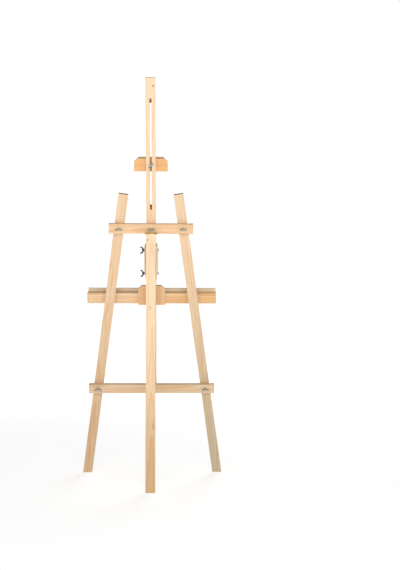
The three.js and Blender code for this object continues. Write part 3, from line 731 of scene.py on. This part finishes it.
# How fine each pattern is on metal, per metre, and how deep the scratches are.
CLOUDS = (160, 160, 160)
SCRATCHES = (1800, 260, 1800)
PITS = (1100, 1100, 1100)
METAL_RELIEF = 0.06 * MM


def plated(name, bright, dull, roughness):
    """Plated metal with cloudy dull patches, fine scratches and small pits."""
    recipe = Recipe(name)
    place = recipe.node("ShaderNodeTexCoord", {}).outputs["Object"]
    clouds = recipe.noise(place, CLOUDS, 3.0)
    scratches = recipe.noise(place, SCRATCHES, 2.0, 0.6)
    pits = recipe.noise(place, PITS, 1.0)
    colour = recipe.mix(recipe.ease(clouds, 0.38, 0.68), rgba(bright), rgba(dull))
    colour = recipe.mix(recipe.ease(pits, 0.68, 0.78, 0.0, 0.5), colour, rgba(dull, 0.5))
    rough = recipe.ease(clouds, 0.3, 0.7, roughness - 0.08, roughness + 0.14)
    rough = recipe.maths("MULTIPLY_ADD", scratches, 0.12, rough)
    height = recipe.maths("MULTIPLY_ADD", pits, 0.5, scratches)
    return recipe.finish(
        Base_Color=colour, Metallic=1.0, Roughness=rough,
        Normal=recipe.bump(height, 0.25, METAL_RELIEF),
    )


def metal_finish(name):
    """One of the three metals, made when it is first asked for."""
    metal = bpy.context.scene.easel_metal
    bright, dull, roughness = {
        "zinc_plate": (metal.zinc, metal.zinc_dull, 0.34),
        "dark_zinc_plate": (metal.zinc_dark, metal.zinc_dark * 0.5, 0.42),
        "dull_brass": (metal.brass, metal.brass_dull, 0.36),
    }[name]
    return bpy.data.materials.get(name) or plated(name, bright, dull, roughness)


# Turned and cast shapes


def corners_of(node):
    return [vert.co.copy() for vert in frame["nodes"][node].data.vertices]


def mean(points):
    return sum(points, Vector()) / len(points)


# The search for a direction starts from one that isn't square to any part's axis.
START_DIRECTION = Vector((0.31, 0.53, 0.79))
SPREAD_STEPS = 60


def spread_axis(points, widest):
    """The direction in which the points spread most, or least."""
    middle = mean(points)
    spread = Matrix(((0, 0, 0), (0, 0, 0), (0, 0, 0)))
    for point in points:
        away = point - middle
        for row in range(3):
            for column in range(3):
                spread[row][column] += away[row] * away[column]
    if not widest:
        spread = spread.inverted()
    axis = START_DIRECTION
    for _ in range(SPREAD_STEPS):
        axis = (spread @ axis).normalized()
    return axis


def radius_about(point, origin, axis):
    away = point - origin
    return (away - axis * away.dot(axis)).length


def base_and_length(points, centre, axis):
    """Where the points begin on the line through centre, and how far they reach along it."""
    heights = [point.dot(axis) for point in points]
    return centre + axis * (min(heights) - centre.dot(axis)), max(heights) - min(heights)


def shaft_place(node):
    """The place and length of a bolt or screw: head's top at the origin, shank along +Z."""
    points = corners_of(node)
    axis = spread_axis(points, True)
    middle = (min(points, key=axis.dot) + max(points, key=axis.dot)) / 2
    centre = mean(points)
    widest = max(points, key=lambda point: radius_about(point, centre, axis))
    if (widest - middle).dot(axis) > 0:
        axis = -axis
    origin, length = base_and_length(points, centre, axis)
    return placed(origin, axis), length


def placed(origin, axis, side=None):
    """A place whose +Z runs along axis and whose +X lies as near side as it can."""
    side = side or (Vector((1, 0, 0)) if abs(axis.x) < 0.7 else LEAN_AXIS)
    side = (side - axis * side.dot(axis)).normalized()
    turn = Matrix((side, axis.cross(side), axis)).transposed()
    return Matrix.Translation(origin) @ turn.to_4x4()


def add_rings(bm, rings, sides, loop=False):
    """Joins rings of points into a skin. A ring is (radius or a function of angle, height)."""
    rows = []
    for radius, height in rings:
        row = []
        for side in range(sides):
            angle = TURN * side / sides
            reach = radius(angle) if callable(radius) else radius
            row.append(bm.verts.new((reach * math.cos(angle), reach * math.sin(angle), height)))
        rows.append(row)
    pairs = list(zip(rows, rows[1:]))
    if loop:
        pairs.append((rows[-1], rows[0]))
    for lower, upper in pairs:
        for side in range(sides):
            after = (side + 1) % sides
            bm.faces.new((lower[side], lower[after], upper[after], upper[side]))
    if not loop:
        bm.faces.new(reversed(rows[0]))
        bm.faces.new(rows[-1])


def arc(centre, radius, start, end, steps):
    """Points (radius, height) on a quarter or other part of a round."""
    angles = [math.radians(start + (end - start) * step / steps) for step in range(steps + 1)]
    return [(centre[0] + radius * math.cos(a), centre[1] + radius * math.sin(a)) for a in angles]


def thread_rings(root, crest, pitch, start, end, per_turn=6):
    """Rings of a right-handed thread from start to end, with a chamfer at the far end."""
    count = int((end - start) / pitch * per_turn)
    rings = []
    for step in range(count + 1):
        height = start + (end - start) * step / count
        limit = crest - max(0.0, height - (end - THREAD_CHAMFER)) * 1.1

        def reach(angle, height=height, limit=limit):
            wave = (height / pitch - angle / TURN) % 1.0
            ridge = min(1.0, max(0.0, 1.6 * (1 - abs(2 * wave - 1)) - 0.3))
            return min(limit, root + (crest - root) * ridge)

        rings.append((reach, height))
    return rings


def finished_mesh(name, bm, modifiers):
    """The mesh of bm, facing outwards, after these modifiers, made through a short-lived object."""
    bmesh.ops.recalc_face_normals(bm, faces=bm.faces)
    mesh = mesh_from(name, bm)
    helper = added(f"{name}_blank", mesh)
    for kind, options in modifiers:
        modifier = helper.modifiers.new(kind.lower(), kind)
        for option, value in options.items():
            setattr(modifier, option, value)
    graph = bpy.context.evaluated_depsgraph_get()
    done = bpy.data.meshes.new_from_object(helper.evaluated_get(graph))
    done.name = name
    bpy.data.objects.remove(helper)
    bpy.data.meshes.remove(mesh)
    if not done.polygons:
        raise RuntimeError(f"{name} has no faces left")
    done.shade_smooth()
    return done


def add_slab(bm, outline, thickness):
    """A flat-sided solid with this outline in XZ, centred on Y = 0."""
    sides = []
    for y in (-thickness / 2, thickness / 2):
        sides.append([bm.verts.new((x, y, z)) for x, z in outline])
    bm.faces.new(sides[0])
    bm.faces.new(reversed(sides[1]))
    for here in range(len(outline)):
        after = (here + 1) % len(outline)
        bm.faces.new((sides[0][after], sides[0][here], sides[1][here], sides[1][after]))


def curve_points(start, pull, end, steps):
    """Points on a curve from start to end that leaves towards pull."""
    points = []
    for step in range(steps + 1):
        t = step / steps
        weights = ((1 - t) ** 2, 2 * t * (1 - t), t * t)
        points.append(tuple(
            weights[0] * start[k] + weights[1] * pull[k] + weights[2] * end[k] for k in range(2)
        ))
    return points


# Fasteners and hinge


# Profiles of turned parts: radius and height, in millimetres.
NUT_BOSS = [
    (3.3, 0.0), (5.9, 0.0), (6.2, 0.35), (6.2, 1.6), (5.6, 4.6), (4.9, 7.5), (4.5, 7.9), (3.3, 7.9),
]
BOLT_HEAD = [
    (0.4, 0.0), (2.6, 0.12), (4.6, 0.55), (6.2, 1.35), (7.2, 2.35), (7.45, 3.0), (7.3, 3.4),
    (6.6, 3.5),
]
WASHER_FOOT = [(3.4, 0.1), (3.5, 0.0), (6.55, 0.0), (6.7, 0.15)]
WASHER_CROWN = [(6.7, -0.5), (6.55, -0.15), (6.2, 0.0), (3.8, 0.0), (3.5, -0.2), (3.4, -0.5)]

EAR_THICKNESS = 2.7 * MM
EAR_TIP = (12.9 * MM, 12.4 * MM)
EAR_TIP_RADIUS = 3.3 * MM
BOLT_SIDES = 24
BOLT_NECK = (3.5 * MM, 6.4 * MM)
BOLT_THREAD_LENGTH = 26 * MM
SCREW_SIDES = 20
SCREW_PITCH = 1.6 * MM
SCREW_RIM = 0.15 * MM
SCREW_TIP = 4 * MM
# Head and shank diameters of the two kinds of screw.
WOOD_SCREW = (8 * MM, 4 * MM)
HINGE_SCREW = (6 * MM, 3 * MM)
# A screw's head is made a little narrower than its nominal width.
HEAD_SHARE = 0.98
# The cross recess, as shares of the head: half its reach at the top and at the bottom, its depth
# and the width of one of its two slots.
CROSS_TOP, CROSS_BOTTOM, CROSS_DEPTH, CROSS_WIDTH = 0.27, 0.14, 0.30, 0.11
NECK_RADIUS = 2.9 * MM
SHANK_RADIUS = 2.75 * MM
THREAD_ROOT = 2.45 * MM
THREAD_CREST = 2.95 * MM
# How much of a thread's end is chamfered.
THREAD_CHAMFER = 0.9 * MM

HINGE_AT = Vector(JOINTS["rear_leg_fold"]["pos_m"])
HINGE_WIDTH = 50 * MM
HINGE_PIN_RADIUS = 1.5 * MM
HINGE_EDGE = 0.12 * MM


def in_metres(profile):
    return [(radius * MM, height * MM) for radius, height in profile]


def wing_outline(side):
    """The outline of one ear of a wing nut, out from the boss and round its tip."""
    tip, reach = EAR_TIP, EAR_TIP_RADIUS
    lower = curve_points((5.2 * MM, 0.9 * MM), (12.6 * MM, 2.2 * MM), (tip[0] + reach, tip[1]), 8)
    round_tip = arc(tip, reach, 0, 155, 10)
    inner = curve_points(round_tip[-1], (8.0 * MM, 8.2 * MM), (4.4 * MM, 7.2 * MM), 7)
    points = lower + round_tip[1:] + inner[1:]
    return [(side * x, z) for x, z in points]


def wing_nut_mesh():
    """A cast wing nut with filleted ears, its base on Z = 0 and its bore along Z."""
    metal = bpy.context.scene.easel_metal
    bm = bmesh.new()
    add_rings(bm, in_metres(NUT_BOSS), metal.sides, loop=True)
    for side in (-1, 1):
        add_slab(bm, wing_outline(side), EAR_THICKNESS)
    return finished_mesh("wing_nut", bm, [
        ("REMESH", {"mode": "VOXEL", "voxel_size": metal.voxel}),
        ("SMOOTH", {"factor": 0.5, "iterations": 4}),
        ("DECIMATE", {"ratio": 0.34}),
    ])


def spread_across(points, centre, axis):
    """The direction across the axis in which the points reach farthest."""
    flats = [point - centre - axis * (point - centre).dot(axis) for point in points]
    return spread_axis([centre + flat for flat in flats] + [centre - flat for flat in flats], True)


def bolt_mesh(length):
    """A carriage bolt: round head at the origin, square neck, shank and thread along +Z."""
    metal = bpy.context.scene.easel_metal
    bm = bmesh.new()
    rings = in_metres(BOLT_HEAD)

    def square(angle):
        return NECK_RADIUS / max(abs(math.cos(angle)), abs(math.sin(angle))) ** 0.9

    neck_top, neck_foot = BOLT_NECK
    rings += [(square, neck_top), (square, neck_foot), (NECK_RADIUS, neck_foot + 0.4 * MM)]
    start = length - BOLT_THREAD_LENGTH
    rings.append((SHANK_RADIUS, start - 0.5 * MM))
    rings += thread_rings(THREAD_ROOT, THREAD_CREST, metal.pitch, start, length)
    add_rings(bm, rings, BOLT_SIDES)
    return finished_mesh("carriage_bolt", bm, [])


def washer_mesh(thickness):
    """A pressed washer with one rounded rim and one sharp rim."""
    top = thickness / MM
    profile = WASHER_FOOT + [(radius, top + down) for radius, down in WASHER_CROWN]
    bm = bmesh.new()
    add_rings(bm, in_metres(profile), bpy.context.scene.easel_metal.sides, loop=True)
    return finished_mesh("washer", bm, [])


def screw_mesh(name, head, shank, length):
    """A countersunk screw with a cross recess in its head and a tapered, threaded shank."""
    bm = bmesh.new()
    sink = (head - shank) / 2
    core, crest = shank / 2 * 0.68, shank / 2 * 0.98
    rings = [
        (0.49 * head, 0.0), (0.5 * head, SCREW_RIM), (shank / 2, sink + SCREW_RIM),
        (shank / 2 * 0.86, sink + 1.2 * MM),
    ]
    first, last = sink + 1.5 * MM, length - SCREW_TIP
    rings += thread_rings(core, crest, SCREW_PITCH, first, last, 4)
    rings.append((0.12 * shank, length))
    add_rings(bm, rings, SCREW_SIDES)
    cutter = bmesh.new()
    top, bottom = CROSS_TOP * head, CROSS_BOTTOM * head
    slot = [(-top, -MM), (top, -MM), (bottom, CROSS_DEPTH * head), (-bottom, CROSS_DEPTH * head)]
    for turn in (0, math.pi / 2):
        before = len(cutter.verts)
        add_slab(cutter, slot, CROSS_WIDTH * head)
        cutter.verts.ensure_lookup_table()
        bmesh.ops.rotate(
            cutter, verts=cutter.verts[before:], cent=(0, 0, 0),
            matrix=Matrix.Rotation(turn, 3, "Z"),
        )
    tool_mesh = finished_mesh(f"{name}_cross", cutter, [])
    tool = added(f"{name}_cross", tool_mesh)
    done = finished_mesh(name, bm, [
        ("BOOLEAN", {
            "operation": "DIFFERENCE", "object": tool, "solver": "EXACT", "use_self": True,
        }),
    ])
    bpy.data.objects.remove(tool)
    bpy.data.meshes.remove(tool_mesh)
    return done


def sharpened(piece):
    """Keeps creases between flat parts of a turned piece crisp."""
    piece.data.set_sharp_from_angle(angle=CREASE_ANGLE)


# Operators


class Maker:
    """What every operator here shares."""

    bl_options = {"REGISTER", "UNDO"}


class EASEL_OT_standing_frame(Maker, bpy.types.Operator):
    """Make the two front legs, the mast and the two crossbars"""

    bl_idname = "easel.standing_frame"
    bl_label = "Legs, Mast and Crossbars"

    def execute(self, context):
        for node in ("left_leg", "right_leg", "mast", "upper_crossbar", "lower_crossbar"):
            make_board(node)
        return {"FINISHED"}


class EASEL_OT_rear_leg(Maker, bpy.types.Operator):
    """Make the hinged rear leg"""

    bl_idname = "easel.rear_leg"
    bl_label = "Rear Leg"

    def execute(self, context):
        make_board("rear_leg")
        return {"FINISHED"}


class EASEL_OT_top_clamp(Maker, bpy.types.Operator):
    """Make the clamp that holds the top of a canvas"""

    bl_idname = "easel.top_clamp"
    bl_label = "Top Clamp"

    def execute(self, context):
        for node in ("clamp_plate", "clamp_ledge", "clamp_lip"):
            make_board(node)
        return {"FINISHED"}


class EASEL_OT_carriage_slide(Maker, bpy.types.Operator):
    """Make the part of the carriage that slides on the mast: carrier and cheeks"""

    bl_idname = "easel.carriage_slide"
    bl_label = "Carriage Slide"

    def execute(self, context):
        for node in ("shelf_carrier", "left_cheek", "right_cheek"):
            make_board(node)
        return {"FINISHED"}


class EASEL_OT_tray(Maker, bpy.types.Operator):
    """Make the tray: bracket, rail, grooved floor and lip"""

    bl_idname = "easel.tray"
    bl_label = "Tray"

    def execute(self, context):
        for node in ("bracket_plate", "shelf_rail", "tray_floor", "tray_lip"):
            make_board(node)
        return {"FINISHED"}


class EASEL_OT_wing_nuts(Maker, bpy.types.Operator):
    """Make the eight cast wing nuts"""

    bl_idname = "easel.wing_nuts"
    bl_label = "Wing Nuts"

    def execute(self, context):
        mesh = wing_nut_mesh()
        for joint in frame["joints"]:
            if not joint["name"].endswith("_nut_turn"):
                continue
            node = joint["name"].replace("_nut_turn", "_wing_nut")
            axis = Vector(joint["axis"])
            points = corners_of(node)
            origin, _ = base_and_length(points, Vector(joint["pos_m"]), axis)
            place = placed(origin, axis, spread_across(points, origin, axis))
            # The carriage's wing nuts get the darker zinc.
            dark_nut = node.startswith("carriage")
            material = metal_finish("dark_zinc_plate" if dark_nut else "zinc_plate")
            casting = mesh.copy() if dark_nut else mesh
            new_piece(f"{node}_casting", casting, node, material, place)
        return {"FINISHED"}


class EASEL_OT_bolts(Maker, bpy.types.Operator):
    """Make the carriage bolts and their washers"""

    bl_idname = "easel.bolts"
    bl_label = "Bolts and Washers"

    def execute(self, context):
        meshes = {}
        zinc = metal_finish("zinc_plate")
        for node in sorted(frame["nodes"]):
            if node.endswith("_bolt"):
                place, length = shaft_place(node)
                key = round(length / MM)
                if key not in meshes:
                    meshes[key] = bolt_mesh(length)
                name, mesh = f"{node}_threaded", meshes[key]
            elif node.endswith("_washer"):
                points = corners_of(node)
                axis = unit_along(spread_axis(points, False))
                origin, thickness = base_and_length(points, mean(points), axis)
                if "washer" not in meshes:
                    meshes["washer"] = washer_mesh(thickness)
                name, mesh, place = f"{node}_pressed", meshes["washer"], placed(origin, axis)
            else:
                continue
            sharpened(new_piece(name, mesh, node, zinc, place))
        return {"FINISHED"}


class EASEL_OT_screws(Maker, bpy.types.Operator):
    """Make the countersunk screws"""

    bl_idname = "easel.screws"
    bl_label = "Screws"

    def execute(self, context):
        meshes = {}
        for node in sorted(frame["nodes"]):
            if "_screw_" not in node:
                continue
            small = node.startswith("hinge")
            place, length = shaft_place(node)
            head, shank = HINGE_SCREW if small else WOOD_SCREW
            key = (small, round(length / MM))
            material = metal_finish("dull_brass" if small else "zinc_plate")
            if key not in meshes:
                meshes[key] = screw_mesh(f"screw_{key[1]}", head * HEAD_SHARE, shank, length)
            sharpened(new_piece(f"{node}_driven", meshes[key], node, material, place))
        return {"FINISHED"}


class EASEL_OT_hinge(Maker, bpy.types.Operator):
    """Make the brass butt hinge of the rear leg"""

    bl_idname = "easel.hinge"
    bl_label = "Hinge"

    def execute(self, context):
        brass = metal_finish("dull_brass")
        for node in ("hinge_upper_leaf", "hinge_lower_leaf"):
            bm = welded(node)
            ease_edges(bm, HINGE_EDGE, 1)
            sharpened(new_piece(f"{node}_rolled", bm, node, brass))
        half = HINGE_WIDTH / 2
        pin = [(0.6 * MM, -half), (1.2 * MM, HINGE_EDGE - half), (HINGE_PIN_RADIUS, 0.5 * MM - half)]
        pin += [(radius, -height) for radius, height in reversed(pin)]
        bm = bmesh.new()
        add_rings(bm, pin, context.scene.easel_metal.sides)
        bmesh.ops.recalc_face_normals(bm, faces=bm.faces)
        place = placed(HINGE_AT, Vector((1, 0, 0)))
        sharpened(new_piece("hinge_pin_turned", bm, "hinge_pin", brass, place))
        return {"FINISHED"}


# Stage


CAMERA_REACH = 200
FLOOR_SIDES = 96
# The floor's own light grows between these distances from the easel.
GLOW_REACH = (1.0, 4.2)
# Each lamp's place, the point that it faces, and its width.
KEY_LAMP = ((-0.1, 3.3, 1.9), (0, 0, 1.0), 2.4)
FILL_LAMP = ((-1.4, -3.2, 2.0), (0, 0, 0.9), 2.2)


def add_camera(stage):
    """Stands the camera at the settings' place, turned by yaw, pitch and roll."""
    yaw, pitch, roll = stage.camera_yaw, stage.camera_pitch, stage.camera_roll
    ahead = Vector((
        math.sin(yaw) * math.cos(pitch), -math.cos(yaw) * math.cos(pitch), -math.sin(pitch),
    ))
    level = Vector((-math.cos(yaw), -math.sin(yaw), 0))
    above = level.cross(ahead)
    right = level * math.cos(roll) + above * math.sin(roll)
    up = above * math.cos(roll) - level * math.sin(roll)
    data = bpy.data.cameras.new("studio_camera")
    data.lens = stage.lens
    data.clip_end = CAMERA_REACH
    camera = added("studio_camera", data)
    turn = Matrix((right, up, -ahead)).transposed()
    camera.matrix_world = Matrix.Translation(stage.camera_place) @ turn.to_4x4()
    bpy.context.scene.camera = camera


def add_floor(stage):
    bm = bmesh.new()
    bmesh.ops.create_circle(bm, cap_ends=True, segments=FLOOR_SIDES, radius=stage.floor_size)
    mesh = mesh_from("floor", bm)
    floor = added("floor", mesh)
    recipe = Recipe("pale_floor")
    place = recipe.node("ShaderNodeTexCoord", {}).outputs["Object"]
    patches = recipe.noise(place, (3, 3, 3))
    colour = recipe.mix(patches, rgba(stage.floor_colour), rgba(stage.floor_colour, 0.985))
    glow = recipe.ease(
        recipe.vector("LENGTH", place), *GLOW_REACH, stage.floor_glow, stage.floor_glow_far,
    )
    mesh.materials.append(recipe.finish(
        Base_Color=colour, Roughness=0.9, Specular_IOR_Level=0.1,
        Emission_Color=(1.0, 1.0, 1.0, 1.0), Emission_Strength=glow,
    ))


def add_lamp(name, place, aim, size, power):
    data = bpy.data.lights.new(name, "AREA")
    data.shape = "DISK"
    data.size = size
    data.energy = power
    lamp = added(name, data)
    lamp.location = place
    lamp.rotation_mode = "QUATERNION"
    lamp.rotation_quaternion = (Vector(aim) - Vector(place)).to_track_quat("-Z", "Y")


def add_walls(stage):
    """White studio walls that darken towards the ceiling."""
    world = bpy.data.worlds.new("studio")
    world.use_nodes = True
    tree = world.node_tree
    tree.nodes.clear()

    def node(kind, **values):
        made = tree.nodes.new(kind)
        for name, value in values.items():
            made.inputs[name.replace("_", " ")].default_value = value
        return made

    place = node("ShaderNodeTexCoord")
    parts = node("ShaderNodeSeparateXYZ")
    fade = node("ShaderNodeMapRange", From_Min=0.20, From_Max=0.80, To_Min=stage.walls,
                To_Max=stage.ceiling)
    fade.interpolation_type = "SMOOTHSTEP"
    seen = node("ShaderNodeLightPath")
    light = node("ShaderNodeBackground", Color=(1, 1, 1, 1))
    backdrop = node("ShaderNodeBackground", Color=(1, 1, 1, 1), Strength=stage.backdrop)
    choice = node("ShaderNodeMixShader")
    output = node("ShaderNodeOutputWorld")
    tree.links.new(place.outputs["Generated"], parts.inputs[0])
    tree.links.new(parts.outputs[2], fade.inputs[0])
    tree.links.new(fade.outputs[0], light.inputs["Strength"])
    tree.links.new(seen.outputs["Is Camera Ray"], choice.inputs[0])
    tree.links.new(light.outputs[0], choice.inputs[1])
    tree.links.new(backdrop.outputs[0], choice.inputs[2])
    tree.links.new(choice.outputs[0], output.inputs[0])
    bpy.context.scene.world = world


class EASEL_OT_stage(Maker, bpy.types.Operator):
    """Make the camera, the pale floor and the soft studio light"""

    bl_idname = "easel.stage"
    bl_label = "Stage"

    def execute(self, context):
        stage = context.scene.easel_stage
        add_camera(stage)
        add_floor(stage)
        add_walls(stage)
        add_lamp("key_lamp", *KEY_LAMP, stage.key)
        add_lamp("fill_lamp", *FILL_LAMP, stage.fill)
        context.scene.view_settings.view_transform = "Standard"
        return {"FINISHED"}


MAKERS = (
    EASEL_OT_standing_frame,
    EASEL_OT_rear_leg,
    EASEL_OT_top_clamp,
    EASEL_OT_carriage_slide,
    EASEL_OT_tray,
    EASEL_OT_wing_nuts,
    EASEL_OT_bolts,
    EASEL_OT_screws,
    EASEL_OT_hinge,
    EASEL_OT_stage,
)


class EASEL_PT_panel(bpy.types.Panel):
    """Lists the settings and the operators"""

    bl_idname = "EASEL_PT_panel"
    bl_label = "Wooden Easel"
    bl_space_type = "VIEW_3D"
    bl_region_type = "UI"
    bl_category = "Easel"

    def draw(self, context):
        for title, settings in (
            ("Wood", context.scene.easel_wood),
            ("Metal", context.scene.easel_metal),
            ("Stage", context.scene.easel_stage),
        ):
            box = self.layout.box()
            box.label(text=title)
            for name in settings.__annotations__:
                box.prop(settings, name)
        for maker in MAKERS:
            self.layout.operator(maker.bl_idname)


# Registration


SETTINGS = {
    "easel_wood": EASEL_PG_wood,
    "easel_metal": EASEL_PG_metal,
    "easel_stage": EASEL_PG_stage,
}
CLASSES = (*SETTINGS.values(), *MAKERS, EASEL_PT_panel)


def register():
    for each in CLASSES:
        bpy.utils.register_class(each)
    for name, group in SETTINGS.items():
        setattr(bpy.types.Scene, name, PointerProperty(type=group))


def unregister():
    for name in SETTINGS:
        delattr(bpy.types.Scene, name)
    for each in reversed(CLASSES):
        bpy.utils.unregister_class(each)


def main():
    register()
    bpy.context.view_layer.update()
    for maker in MAKERS:
        group, name = maker.bl_idname.split(".")
        getattr(getattr(bpy.ops, group), name)()


if __name__ == "__main__":
    main()
